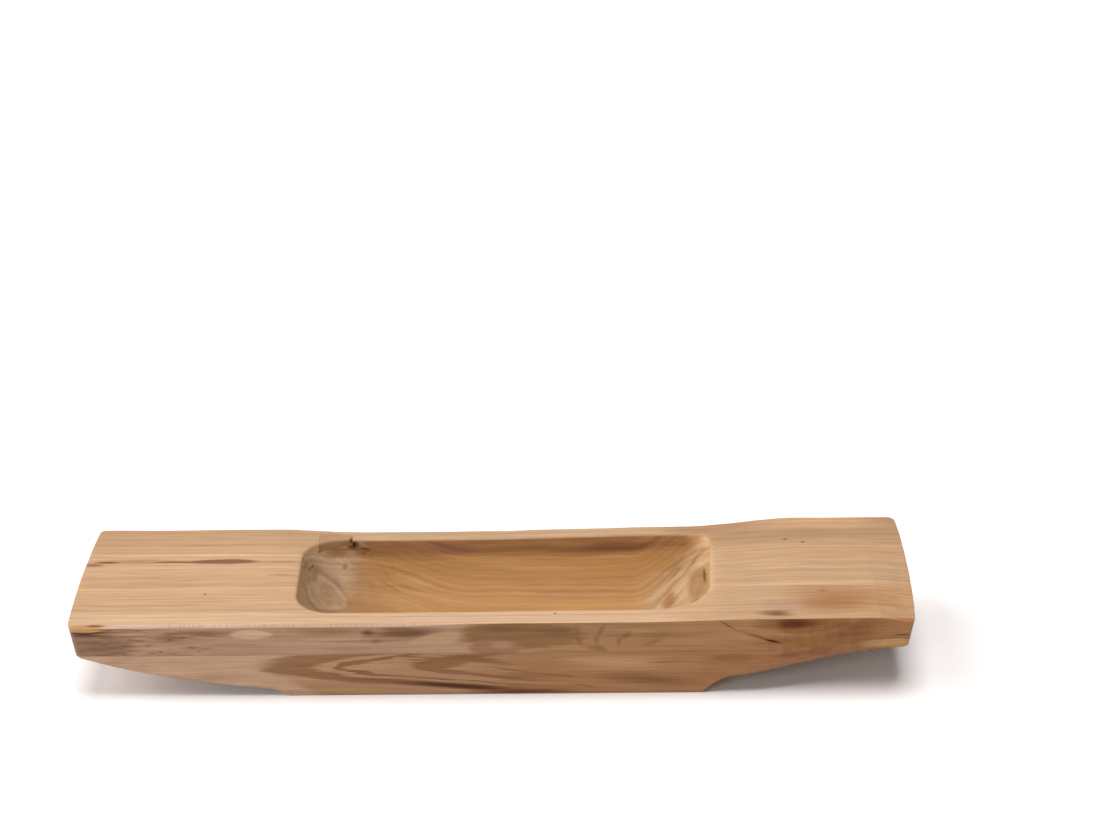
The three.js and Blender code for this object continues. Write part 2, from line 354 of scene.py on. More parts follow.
def sawn_block():
    block = box("bowl_block", (LEFT_END, FRONT, 0), (RIGHT_END, BACK, HIGHEST))
    stations = saw_stations()
    edit(block, "VERT")
    for x in stations:
        slice_at((x, 0, 0), (1, 0, 0))
    for x in [LEFT_END, *stations, RIGHT_END]:
        shape_section(x)
    rows = [mix(FRONT, BACK, step / CROSS_CUTS) for step in range(CROSS_CUTS + 1)]
    for y in rows[1:-1]:
        slice_at((0, y, 0), (0, 1, 0))
    bow_the_ends(rows)
    leave()
    round_the_corners(block)
    return block


# The gouge: what the hollow takes out

def gouge():
    """A slab that fills the mouth of the hollow, drawn down ring by ring into the rounded floor."""
    above = 12 * MM
    low = (HOLLOW_LEFT, HOLLOW_FRONT, BOARD_TOP)
    tool = box("gouge", low, (HOLLOW_RIGHT, HOLLOW_BACK, BOARD_TOP + above))
    middle = Vector(((HOLLOW_LEFT + HOLLOW_RIGHT) / 2, (HOLLOW_FRONT + HOLLOW_BACK) / 2, 0))
    edit(tool, "VERT")
    choose("verts", lambda vert: vert.co.x > middle.x and vert.co.y < middle.y)
    bpy.ops.transform.translate(value=(-HOLLOW_SLANT, HOLLOW_TAPER, 0))

    bpy.ops.mesh.select_mode(type="EDGE")
    for name, radius in HOLLOW_CORNERS.items():
        right, behind = "right" in name, "back" in name

        def upright(edge):
            at = middle_of(edge)
            return rise_of(edge) > above / 2 and (at.x > middle.x) == right and (at.y > middle.y) == behind

        choose("edges", upright)
        bpy.ops.mesh.bevel(offset=radius, segments=MOUTH_CUTS, profile=0.5, affect="EDGES")

    bpy.ops.mesh.select_mode(type="FACE")
    choose("faces", lambda face: face.normal.z < -0.9)
    depth = BOARD_TOP - FLOOR_THICKNESS
    reached, length, width = 0, HOLLOW_LENGTH, HOLLOW_WIDTH
    for step in range(1, WALL_CUTS + 1):
        turn = math.radians(90 * step / WALL_CUTS)
        curl = FLOOR_ROUND * (1 - math.cos(turn))
        next_length = HOLLOW_LENGTH - 2 * (END_DRAFT * math.sin(turn) + curl)
        next_width = HOLLOW_WIDTH - 2 * (SIDE_DRAFT * math.sin(turn) + curl)
        down = depth * math.sin(turn) - reached
        bpy.ops.mesh.extrude_region_move(TRANSFORM_OT_translate={"value": (0, 0, -down)})
        bpy.ops.transform.resize(value=(next_length / length, next_width / width, 1), center_override=middle)
        reached, length, width = reached + down, next_length, next_width

    choose("faces", lambda face: face.normal.z > 0.9)
    opened = 2 * above / depth
    wider = (1 + END_DRAFT * opened / HOLLOW_LENGTH, 1 + SIDE_DRAFT * opened / HOLLOW_WIDTH, 1)
    bpy.ops.transform.resize(value=wider, center_override=middle)

    def in_the_tight_corner(vert):
        right, behind = HOLLOW_RIGHT - TIGHT_CORNER[0], HOLLOW_BACK - TIGHT_CORNER[1]
        return vert.co.x > right and vert.co.y > behind and vert.co.z < BOARD_TOP - MOUTH_KEPT

    bpy.ops.mesh.select_mode(type="VERT")
    choose("verts", in_the_tight_corner)
    bpy.ops.mesh.vertices_smooth(factor=0.5, repeat=12)
    leave()
    return tool


def arris_bevel_tool():
    """A wedge over the front arris, full along the left half and dying out before the middle."""
    over = 10 * MM
    low = (LEFT_END - over, FRONT - 2 * over, BOARD_TOP - over)
    full, end = map(along_hollow, BEVEL_FADE)
    tool = box("arris_bevel", low, (end, FRONT, BOARD_TOP + over))
    edit(tool, "VERT")
    slice_at((full, 0, 0), (1, 0, 0))
    for at_top, way in ((False, -1), (True, 1)):
        choose("verts", lambda vert: vert.co.y > FRONT - over and (vert.co.z > BOARD_TOP) == at_top)
        bpy.ops.transform.translate(value=(0, way * over, 0))
    choose("verts", lambda vert: vert.co.x < (full + end) / 2)
    bpy.ops.transform.translate(value=(0, ARRIS_BEVEL / 2, -ARRIS_BEVEL / 2))
    leave()
    return tool


# Sanding

def lip_of(block):
    """Points along the lip of the hollow, where the top meets its walls."""
    points = []
    shape = bmesh.new()
    shape.from_mesh(block.data)
    for edge in shape.edges:
        at = middle_of(edge)
        rises = sorted(face.normal.z for face in edge.link_faces)
        in_length = HOLLOW_LEFT - MM < at.x < HOLLOW_RIGHT + MM
        in_width = HOLLOW_FRONT - MM < at.y < HOLLOW_BACK + MM
        on_top = at.z > BOARD_TOP - 5 * MM
        if in_length and in_width and on_top and len(rises) == 2 and rises[0] < 0.7 and rises[1] > 0.9:
            steps = 1 + int(edge.calc_length() / MM)
            start, stop = (vert.co for vert in edge.verts)
            points += [start.lerp(stop, step / steps) for step in range(steps + 1)]
    shape.free()
    lip = KDTree(len(points))
    for index, point in enumerate(points):
        lip.insert(point, index)
    lip.balance()
    return lip


def soften(block, lip):
    """Sands every arris a little, and the lip of the hollow more, most of all at its right end."""
    edit(block, "VERT")
    bpy.ops.mesh.select_all(action="SELECT")
    bpy.ops.mesh.vertices_smooth(factor=0.5, repeat=1)
    choose("verts", lambda vert: lip.find(vert.co)[2] < SOFT_RIM)
    bpy.ops.mesh.vertices_smooth(factor=0.5, repeat=3)
    right = HOLLOW_RIGHT - SOFT_RIGHT_END
    choose("verts", lambda vert: vert.co.x > right and lip.find(vert.co)[2] < 2 * SOFT_RIM)
    bpy.ops.mesh.vertices_smooth(factor=0.5, repeat=12)
    leave()


def wave(block):
    """Presses the surface in by an uneven hair, everywhere but on the foot, as hand work leaves it."""
    above_foot = block.vertex_groups.new(name="above_foot")
    for vert in block.data.vertices:
        above_foot.add([vert.index], ease(vert.co.z, 0, WAVED_FROM), "REPLACE")
    waves = bpy.data.textures.new("hand_wave", "CLOUDS")
    waves.noise_scale = WAVE_LENGTH
    waves.noise_depth = 1
    finish_with(block, "DISPLACE", texture=waves, texture_coords="LOCAL", strength=HAND_WAVE,
                mid_level=1, vertex_group=above_foot.name)
    block.vertex_groups.clear()


def carved_block():
    block = sawn_block()
    cut_with(block, gouge(), solver="EXACT")
    lip = lip_of(block)
    cut_with(block, arris_bevel_tool(), solver="EXACT")
    finish_with(block, "REMESH", mode="SHARP", octree_depth=9, scale=0.84, sharpness=1.0,
                use_remove_disconnected=False)
    soften(block, lip)
    wave(block)
    return block


block = carved_block()


# The pieces, cut from the one carved block

def layer(name, bottom=-10 * MM, top=HIGHEST + 10 * MM):
    """What the block holds between two heights."""
    piece = copy_of(block, name)
    slab = box("slab", (LEFT_END - SPARE, FRONT - SPARE, bottom), (RIGHT_END + SPARE, BACK + SPARE, top))
    cut_with(piece, slab, "INTERSECT")
    return piece


def smooth(piece):
    take(piece)
    bpy.ops.object.shade_smooth_by_angle(angle=SMOOTH_ANGLE)


def place(piece, material, slot, *nodes):
    """Gives a piece its material and its place in the frame."""
    smooth(piece)
    piece.data.materials.clear()
    piece.data.materials.append(material)
    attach(piece, "root")
    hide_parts(*nodes)


# Materials: solid textures on Object coordinates, measured in millimetres

# What a full measure of grain takes from the red, the green and the blue
GRAIN_TINT = (-0.7, -0.9, -1.0)
# The lamps outshine white paper by this much, so that faint shadows fade out on it
EXPOSURE = 1.25


def shade(red, green, blue):
    """A colour written as the eye sees it, from 0 to 255, turned into the light it sends back."""
    def linear(value):
        value /= 255
        light = value / 12.92 if value <= 0.04045 else ((value + 0.055) / 1.055) ** 2.4
        return light / EXPOSURE
    return (linear(red), linear(green), linear(blue), 1)


# Across and up a core of curled grain, which leans forwards
RIGHT = Vector((1, 0, 0))
UP = Vector((0, 0.43, 0.9))


class Surface:
    """One material in the making: adds nodes, each fed by plain values or by other nodes."""

    def __init__(self, name):
        self.material = bpy.data.materials.new(name)
        self.material.use_nodes = True
        self.nodes = self.material.node_tree.nodes
        self.links = self.material.node_tree.links
        self.shader = self.nodes["Principled BSDF"]
        self.position = self.node("TexCoord").outputs["Object"]
        self.place = self.vector("DIVIDE", self.position, (MM, MM, MM))
        axes = self.node("SeparateXYZ", {0: self.place}).outputs
        self.x, self.y, self.z = axes["X"], axes["Y"], axes["Z"]
        self.ragged = self.noise((44, 3.4, 2.8), detail=4, roughness=0.6)
        self.colour = None
        self.region = 1.0

    def node(self, kind, feeds=None, **settings):
        node = self.nodes.new("ShaderNode" + kind)
        for name, value in settings.items():
            setattr(node, name, value)
        for socket, value in (feeds or {}).items():
            self.feed(node.inputs[socket], value)
        return node

    def feed(self, socket, value):
        if isinstance(value, bpy.types.NodeSocket):
            self.links.new(value, socket)
        else:
            socket.default_value = value

    def math(self, operation, *values):
        return self.node("Math", dict(enumerate(values)), operation=operation).outputs[0]

    def vector(self, operation, *values):
        node = self.node("VectorMath", dict(enumerate(values)), operation=operation)
        return node.outputs["Value" if operation in ("LENGTH", "DOT_PRODUCT") else "Vector"]

    def sum(self, first, *parts):
        """Adds weighted parts, each given as a value and its weight."""
        total = first
        for value, weight in parts:
            total = self.math("MULTIPLY_ADD", value, weight, total)
        return total

    def noise(self, cell, detail=2, roughness=0.5, seed=0):
        """Noise around 0, from about -0.5 to 0.5, with cells of the given size along X, Y and Z."""
        shift, scale = (seed * 7.3, seed * 3.1, seed * 5.7), [1 / (size * MM) for size in cell]
        mapping = self.node("Mapping", {"Vector": self.position, "Location": shift, "Scale": scale})
        feeds = {"Vector": mapping.outputs[0], "Scale": 1, "Detail": detail, "Roughness": roughness}
        return self.math("SUBTRACT", self.node("TexNoise", feeds).outputs["Fac"], 0.5)

    def noise_along(self, value, cell, detail=1):
        """Noise around 0 along one changing value."""
        feeds = {"W": value, "Scale": 1 / cell, "Detail": detail, "Roughness": 0.6}
        node = self.node("TexNoise", feeds, noise_dimensions="1D")
        return self.math("SUBTRACT", node.outputs["Fac"], 0.5)

    def climb(self, value, low, high):
        """0 below low, 1 above high; turned round where low is the greater."""
        feeds = {"Value": value, "From Min": low, "From Max": high}
        return self.node("MapRange", feeds, interpolation_type="SMOOTHSTEP").outputs["Result"]

    def between(self, value, low, high, soft):
        """1 from low to high, fading to 0 over a soft edge on both sides."""
        return self.both(self.climb(value, low - soft, low), self.climb(value, high + soft, high))

    def both(self, *shares):
        share = shares[0]
        for other in shares[1:]:
            share = self.math("MULTIPLY", share, other)
        return share

    def blend(self, share, first, second):
        return self.node("Mix", {0: share, 6: first, 7: second}, data_type="RGBA").outputs[2]

    def gap(self, centre, reach, turn=0.0, ragged=0.3, twist=0.0):
        """How far out a place lies in an ellipsoid: 0 at its centre, 1 on its skin, which is ragged.
        With a reach of two it is an oval core of curled grain, which leans forwards."""
        offset = self.vector("SUBTRACT", self.place, centre)
        inside = self.vector("DIVIDE", offset, reach) if len(reach) == 3 else None
        if turn or twist or len(reach) == 2:
            axes = Euler((0, math.radians(turn), math.radians(twist))).to_matrix().col
            if len(reach) == 2:
                cosine, sine = math.cos(math.radians(turn)), math.sin(math.radians(turn))
                axes = [RIGHT * cosine + UP * sine, UP * cosine - RIGHT * sine]
            shares = [self.vector("DOT_PRODUCT", offset, axis / size) for axis, size in zip(axes, reach)]
            inside = self.node("CombineXYZ", dict(enumerate(shares))).outputs["Vector"]
        return self.sum(self.vector("LENGTH", inside), (self.ragged, 2 * ragged))

    def tint(self, colour, *shares):
        """Turns the wood to a colour by some shares multiplied, in the region being coloured."""
        self.colour = self.blend(self.both(*shares, self.region), self.colour, shade(*colour))

    def mark(self, colour, centre, reach, turn=0.0, edge=0.5, ragged=0.3, strength=1.0, twist=0.0):
        """A stain or streak: an ellipsoid in the wood, with a soft edge."""
        self.tint(colour, self.climb(self.gap(centre, reach, turn, ragged, twist), 1, 1 - edge), strength)

    def stroke(self, colour, start, end, width, deep, **how):
        """A streak that runs from one place to another: so wide to either side and so deep."""
        start, end = Vector(start), Vector(end)
        along = end - start
        turn = -math.degrees(math.atan2(along.z, math.hypot(along.x, along.y)))
        twist = math.degrees(math.atan2(along.y, along.x))
        self.mark(colour, (start + end) / 2, (along.length / 2, deep, width), turn, twist=twist, **how)

    def ring(self, colour, centre, reach, width, turn=0.0, ragged=0.2, strength=1.0, twist=0.0):
        """A line around an ellipsoid, as where a growth ring comes to the surface."""
        gap = self.gap(centre, reach, turn, ragged, twist)
        off = self.math("ABSOLUTE", self.math("SUBTRACT", gap, 1))
        self.tint(colour, self.climb(off, width, 0), strength)


def top_gap(wood):
    """How far below the planed top a place lies."""
    across = wood.climb(wood.y, FRONT / MM, BACK / MM)
    climb = wood.climb(wood.x, *(along_hollow(share) / MM for share in FRONT_CLIMB))
    rise = wood.climb(wood.x, *(along_hollow(share) / MM for share in BACK_CLIMB))
    start, full, fading, end = (along_hollow(share) / MM for share in BACK_WEAR)
    worn = wood.both(wood.climb(wood.x, start, full), wood.climb(wood.x, end, fading))
    front = wood.sum(BOARD_TOP / MM, (climb, FRONT_RISE / MM))
    back = wood.sum(BOARD_TOP / MM, (rise, BACK_RISE / MM), (worn, -BACK_DIP / MM))
    top = wood.sum(front, (wood.math("SUBTRACT", back, front), across))
    return wood.math("SUBTRACT", top, wood.z)


def front_depth(wood):
    """How far behind the leaning front a place lies."""
    carved = wood.climb(wood.x, (RIGHT_END - UNDERCUT_LENGTH) / MM, RIGHT_END / MM)
    lean = wood.sum(SIDE_LEAN / MM, (carved, UNDERCUT / MM))
    arris = (BOARD_TOP + FRONT_RISE) / MM
    below = wood.math("MULTIPLY_ADD", wood.z, -1 / arris, 1)
    return wood.sum(wood.math("SUBTRACT", wood.y, FRONT / MM), (wood.both(lean, below), -1))


def in_the_hollow(wood):
    """1 inside the outline of the hollow's mouth, seen from above."""
    taper = wood.climb(wood.x, HOLLOW_LEFT / MM, HOLLOW_RIGHT / MM)
    front = wood.sum(HOLLOW_FRONT / MM, (taper, HOLLOW_TAPER / MM))
    across = wood.climb(wood.math("SUBTRACT", wood.y, front), -1, 1)
    back = wood.climb(wood.y, HOLLOW_BACK / MM + 1, HOLLOW_BACK / MM - 1)
    return wood.both(across, back, wood.between(wood.x, HOLLOW_LEFT / MM, HOLLOW_RIGHT / MM, 1))


def flow_of(wood):
    """Counts the rings along the hollow: they dip at its left end and sweep up its right one."""
    wander = wood.noise((90, 30, 30), detail=2, seed=20)
    waver = wood.noise((46, 16, 16), seed=23)
    height = wood.sum(wood.z, (wood.y, 0.6), (wander, 8), (waver, 6), (wood.ragged, 1.5))
    dip, sweep = wood.climb(wood.x, -15, -105), wood.climb(wood.x, 100, 158)
    return wood.sum(height, (dip, -26), (sweep, -36))


def finish_wood(wood, grain, fibres, relief=0.35):
    """Sanded bare wood: grain in its colour, and a soft sheen that breaks up along raised fibres."""
    factor = wood.vector("MULTIPLY_ADD", grain, GRAIN_TINT, (1, 1, 1))
    pores = wood.noise((9, 0.45, 0.45), detail=2, seed=9)
    height = wood.sum(fibres, (pores, 0.8))
    bump = wood.node("Bump", {"Height": height, "Strength": relief, "Distance": 0.0002})
    wood.feed(wood.shader.inputs["Base Color"], wood.vector("MULTIPLY", wood.colour, factor))
    wood.feed(wood.shader.inputs["Roughness"], wood.sum(0.55, (fibres, 0.2)))
    wood.feed(wood.shader.inputs["Normal"], bump.outputs["Normal"])
    wood.shader.inputs["Specular IOR Level"].default_value = 0.18


def upper_wood():
    """The upper board: straight and pale on top, weathered along its front, golden in the hollow."""
    wood = Surface("upper_wood")
    gap, depth = top_gap(wood), front_depth(wood)
    near_top = wood.math("MINIMUM", gap, 4)
    front = wood.climb(wood.math("SUBTRACT", near_top, depth), -0.4, 0.6)
    hollow = wood.both(in_the_hollow(wood), wood.climb(gap, 0.8, 2.4))
    bevel = wood.both(
        wood.climb(wood.math("MAXIMUM", gap, depth), 3.6, 3.0),
        wood.climb(wood.math("MINIMUM", gap, depth), 0.4, 0.8),
        wood.climb(wood.x, -10, -60),
    )
    wander = wood.noise((260, 70, 70), detail=1, seed=1)
    waver = wood.noise((80, 12, 12), detail=1, seed=2)
    rings = wood.sum(wood.y, (wander, 9), (waver, 1.2), (wood.z, 0.3))
    bands = wood.noise_along(rings, 8.5)
    lines = wood.noise_along(rings, 3.4, detail=2)
    fibres = wood.noise((30, 0.9, 0.9), detail=2, seed=3)
    dashes = wood.noise((46, 2.2, 2.2), detail=3, seed=17)
    streaks = wood.noise((60, 3.4, 2.0), detail=4, roughness=0.6, seed=13)
    cloud = wood.noise((110, 30, 30), detail=2, seed=4)
    flow = flow_of(wood)
    flow_lines = wood.sum(wood.noise_along(flow, 6, detail=3), (fibres, 0.4))

    wood.colour = shade(212, 174, 135)
    wood.tint((222, 187, 151), wood.climb(wood.y, -50, -58), wood.climb(wood.x, 150, 100), 0.9)
    wood.tint((202, 161, 124), wood.climb(lines, 0.0, 0.2), wood.climb(wood.y, -50, -56), 0.6)
    wood.tint((246, 226, 201), wood.climb(wood.y, 56, 61), wood.between(wood.x, -100, 100, 40))
    colour_left_platform(wood)
    colour_right_platform(wood)
    wood.region = hollow
    colour_upper_hollow(wood)
    wood.region = front
    colour_upper_front(wood)
    wood.region = bevel
    colour_bevel(wood)
    grain = wood.sum(0, (bands, 0.34), (lines, 0.5), (dashes, 0.6), (fibres, 0.3), (cloud, 0.15))
    on_front = wood.sum(0, (streaks, 0.95), (fibres, 0.4), (cloud, 0.3))
    in_hollow = wood.sum(0, (flow_lines, 0.95), (cloud, 0.4))
    grain = wood.sum(grain, (wood.both(wood.math("SUBTRACT", on_front, grain), front), 1))
    grain = wood.sum(grain, (wood.both(wood.math("SUBTRACT", in_hollow, grain), hollow), 1))
    finish_wood(wood, grain, fibres)
    return wood.material


def colour_left_platform(wood):
    """The left platform: long pale and brown bands, and a dark streak of heartwood."""
    wood.tint((200, 163, 125), wood.climb(wood.y, 22, 60), 0.9)
    wood.mark((222, 186, 148), (-215, 30, 60), (90, 2.4, 40), ragged=0.4, strength=0.8)
    wood.mark((222, 186, 147), (-180, 10, 60), (64, 5, 40), edge=0.8, strength=0.3)
    wood.mark((208, 169, 129), (-240, -6, 60), (90, 16, 40), edge=0.9, ragged=0.5)
    wood.mark((200, 160, 120), (-262, -43, 60), (70, 2.2, 40), ragged=0.5, strength=0.8)
    wood.mark((224, 189, 152), (-225, -60, 60), (100, 4, 40), edge=0.8, strength=0.9)
    wood.mark((196, 156, 116), (-190, -51, 60), (60, 1.2, 40), ragged=0.4, strength=0.6)
    # The streak of heartwood: a stain at the end, a thin tail and the spindle
    wood.mark((186, 146, 106), (-262, 21, 60), (40, 5, 40), edge=0.9, ragged=0.4, strength=0.9)
    wood.mark((140, 98, 70), (-283, 20.2, 60), (12, 2.4, 40), ragged=0.7)
    wood.mark((166, 122, 88), (-293, 17, 60), (9, 4.2, 40), ragged=0.7, edge=0.9)
    wood.mark((150, 108, 78), (-230, 20.4, 60), (24, 1.7, 40), ragged=0.5)
    wood.mark((148, 108, 80), (-198, 20.8, 60), (31, 4.0, 40), ragged=0.35, edge=0.35)
    wood.mark((186, 144, 100), (-156, 19.6, 60), (24, 2.6, 40), edge=0.9)
    wood.mark((120, 82, 56), (-207.4, -27.4, 61), (1.4, 1.2, 6), ragged=0)
    wood.mark((170, 128, 92), (-155, 0, 60), (14, 1.0, 40), ragged=0.4)


def colour_right_platform(wood):
    """The right platform: browner, orange towards the front, with a grey smudge and small knots."""
    right = wood.climb(wood.x, 120, 180)
    wood.tint((202, 166, 129), right)
    wood.tint((184, 148, 112), wood.climb(wood.x, 112, 150), wood.climb(wood.y, 18, 52))
    wood.mark((201, 161, 121), (262, 24, 62), (60, 26, 40), edge=0.9)
    wood.mark((210, 170, 129), (240, 64, 62), (70, 14, 40), edge=0.8)
    wood.mark((208, 163, 119), (284, -40, 62), (46, 34, 40), edge=0.9)
    wood.mark((180, 134, 92), (243, -46, 62), (58, 28, 40), edge=0.9, ragged=0.25)
    wood.mark((172, 122, 80), (238, -50, 62), (30, 14, 40), edge=0.9, strength=0.7)
    wood.mark((206, 160, 114), (268, -66, 62), (34, 5, 40), edge=0.8, ragged=0.5, strength=0.8)
    wood.mark((214, 178, 142), (216, -23.4, 62), (78, 2.0, 40), ragged=0.5, strength=0.9)
    wood.mark((208, 172, 136), (206, -12, 62), (60, 1.3, 40), ragged=0.5, strength=0.7)
    wood.mark((210, 172, 134), (200, 33.5, 63), (60, 1.7, 40), ragged=0.5, strength=0.7)
    wood.mark((186, 146, 108), (240, -28, 62), (50, 1.5, 40), ragged=0.5, strength=0.8)
    wood.mark((186, 146, 108), (250, 5, 62), (44, 1.6, 40), ragged=0.5, strength=0.7)
    wood.mark((190, 156, 128), (203, -54, 62), (22, 8, 40), edge=0.9)
    wood.mark((124, 88, 62), (198, -64.0, 62), (19, 6.0, 40), edge=0.98, ragged=0.6)
    wood.mark((166, 122, 84), (233.4, -33.8, 62), (5, 3, 40), edge=0.9)
    for x, y in ((213.4, 40), (225.9, 35)):
        wood.mark((140, 100, 70), (x, y, 63), (2.4, 1.6, 8), edge=0.6, ragged=0)
    wood.mark((104, 72, 50), (42, -58, 61), (1.4, 1.2, 6), ragged=0)


def colour_upper_hollow(wood):
    """The wall of the hollow in the upper board: brown under the rim, deepened there with painted shade,
    pale at both ends.
    """
    wood.tint((190, 141, 88))
    under_rim = wood.climb(wood.sum(wood.z, (wood.ragged, 9), (wood.climb(wood.x, 60, 144), -6)), 41, 48)
    brown_and_shade_band = wood.both(wood.climb(wood.y, 42, 50), under_rim, wood.between(wood.x, -92, 138, 12))
    wood.mark((198, 148, 98), (18, 49, 39), (62, 12, 5.4), turn=5, ragged=0.3, edge=0.6)
    colour_curl(wood)
    colour_fan(wood)
    # The darker stripe high on the wall under the rim, and the two darker patches in it: partly the wood's
    # own brown, partly painted shade under the rim.
    wood.tint((161, 115, 71), brown_and_shade_band, 0.95)
    wood.mark((152, 106, 74), (-34, 55, 50), (30, 12, 4.6), ragged=0.5, strength=0.9)
    wood.mark((134, 94, 60), (88, 55, 51), (36, 12, 5.4), ragged=0.45, edge=0.7, strength=0.9)
    # Around the hole beside the strip, and the cracks that run from it: the wall below the strip is darkened
    # with painted shade, and the hole is painted near-black as the shadow inside it
    wood.mark((172, 130, 86), (-117, 52, 50), (17, 8), edge=0.9, ragged=0.3)
    wood.mark((156, 112, 70), (-100, 54, 49), (15, 7), edge=0.9, ragged=0.4)
    wood.mark((120, 82, 48), (-106, 56, 53.5), (8, 5.4), edge=0.95, ragged=0.3)
    # Near-black: painted shadow inside the hole.
    wood.mark((24, 12, 2), (-107, 56, 54), (6.4, 4.8), edge=0.95, ragged=0.2)
    wood.stroke((100, 66, 40), (-103, 55.5, 51.4), (-91.5, 55, 48.6), 0.9, 4, ragged=0.5, edge=0.7)
    wood.stroke((112, 76, 48), (-98, 55.3, 50), (-99, 55, 44.5), 0.8, 4, ragged=0.5, edge=0.7)
    # Small pits high on the left wall
    wood.mark((216, 180, 144), (-138, 24.5, 51), (4.4, 6), edge=0.9, ragged=0.5)
    wood.mark((124, 88, 60), (-139.6, 25, 53.4), (1.3, 4), turn=-20, edge=0.9, ragged=0.5, strength=0.4)
    wood.mark((118, 82, 54), (-137, 24.5, 49.6), (1.5, 3.4), turn=24, edge=0.9, ragged=0.5, strength=0.4)
    wood.mark((140, 104, 74), (-135.4, 27, 51), (1.2, 2.6), turn=-30, edge=0.9, ragged=0.5)
    wood.mark((150, 112, 78), (-112.4, 47.3, 40), (2.6, 3.4), edge=0.8, ragged=0.6, strength=0.7)


def colour_curl(wood):
    """Where the rings curl at the left end: tan, then greyish, with soft bands around a centre."""
    edge = wood.sum(wood.x, (wood.ragged, 16), (wood.z, -0.25))
    grey = wood.climb(edge, -106, -126)
    waver = wood.noise((34, 34, 34), detail=2, seed=21)
    curl = wood.sum(wood.gap((-124, 26, 30), (2.0, 1), -48, 0), (waver, 16))
    bands = wood.noise_along(curl, 6.2, detail=1)
    wood.tint((189, 145, 100), wood.climb(edge, -90, -110))
    wood.tint((222, 190, 155), grey)
    wood.tint((172, 137, 107), wood.climb(bands, -0.06, 0.24), grey, 0.75)
    wood.tint((238, 208, 175), wood.climb(bands, 0.0, -0.26), grey, 0.5)
    wood.tint((176, 128, 80), wood.climb(bands, 0.0, 0.2), wood.between(edge, -108, -92, 12), 0.6)
    wood.mark((218, 186, 152), (-139, -2, 53), (6, 34, 10), edge=0.9, ragged=0.3, strength=0.6)


def colour_fan(wood):
    """Where the rings turn up at the right end: paler and greyer, streaked up to the far corner."""
    pale = wood.climb(wood.sum(wood.x, (wood.z, -1), (wood.ragged, 14)), 86, 106)
    waver = wood.noise((40, 18, 18), detail=2, seed=22)
    fan = wood.sum(wood.x, (wood.y, -0.4), (wood.z, -0.82), (waver, 12))
    streaks = wood.noise_along(fan, 6, detail=2)
    wood.tint((192, 160, 124), pale)
    wood.tint((158, 118, 78), wood.climb(streaks, 0.0, 0.22), pale, 0.65)
    wood.tint((208, 174, 136), wood.climb(streaks, -0.02, -0.22), pale, 0.5)
    wood.mark((152, 108, 66), (128, 23, 22), (11, 5.4), turn=52, edge=0.8, ragged=0.3, strength=0.9)
    wood.mark((146, 104, 66), (133.5, 44.5, 34), (10.5, 1.6), turn=47, edge=0.9, ragged=0.3, strength=0.7)
    wood.mark((150, 110, 74), (147.5, 46, 44), (10, 1.3), turn=52, edge=0.9, ragged=0.3, strength=0.7)
    # A petal of rings on the end wall, and the dark line along it
    wood.mark((160, 123, 87), (147.7, 20.6, 39.2), (15.5, 6.8), turn=64, edge=0.6, ragged=0.12)
    wood.mark((166, 130, 97), (146.6, 21, 37.4), (9.5, 3), turn=66, edge=0.9, ragged=0.2, strength=0.7)
    wood.mark((98, 67, 40), (152.2, 14, 49), (6.6, 1.3), turn=84, edge=0.8, ragged=0.25)
    # The walls of the hollow throw a warm light on each other
    wood.tint((255, 212, 110), 0.045)


def colour_upper_front(wood):
    """The front of the upper board: from weathered on the left, past a pale blob, to red brown."""
    wood.tint((207, 166, 134))
    wood.tint((197, 149, 104), wood.climb(wood.x, -30, 40))
    wood.tint((190, 139, 94), wood.climb(wood.x, 150, 230))
    streaky = wood.between(wood.x, -180, -70, 20)
    wood.tint((190, 147, 114), streaky, wood.climb(wood.ragged, 0.02, 0.16), 0.6)
    wood.tint((216, 176, 145), streaky, wood.climb(wood.ragged, -0.02, -0.16), 0.5)
    colour_weathered(wood)
    wood.mark((244, 202, 165), (-171, -70, 51.8), (17.5, 30, 4.4), edge=0.35)
    wood.mark((181, 139, 104), (-116, -70, 54), (38, 30, 5), edge=0.9, ragged=0.5)
    wood.mark((138, 98, 68), (-62, -70, 52), (36, 30, 7), edge=0.8, ragged=0.5)
    wood.mark((130, 90, 58), (-89.5, -70, 52.5), (7, 30, 4), ragged=0.7, edge=0.9)
    wood.mark((172, 130, 96), (-84, -70, 46), (7, 30, 3), ragged=0.9, edge=0.7, strength=0.8)
    wood.mark((166, 122, 80), (17, -70, 50), (54, 30, 13), edge=0.35, ragged=0.5)
    wood.mark((144, 106, 72), (4, -70, 55), (20, 30, 4), edge=0.8, ragged=0.6, strength=0.8)
    wood.mark((150, 110, 74), (44, -70, 52), (18, 30, 5), edge=0.8, ragged=0.6, strength=0.7)
    wood.mark((214, 173, 134), (-45, -70, 44.6), (27, 30, 7.6), turn=-16, edge=0.4, ragged=0.45)
    wood.mark((179, 133, 97), (0, -70, 39.5), (21, 30, 9), edge=0.3, ragged=0.3)
    wood.mark((202, 158, 120), (4, -70, 41.4), (12, 30, 3.6), edge=0.8, ragged=0.4)
    colour_burr(wood)
    colour_red_heart(wood)


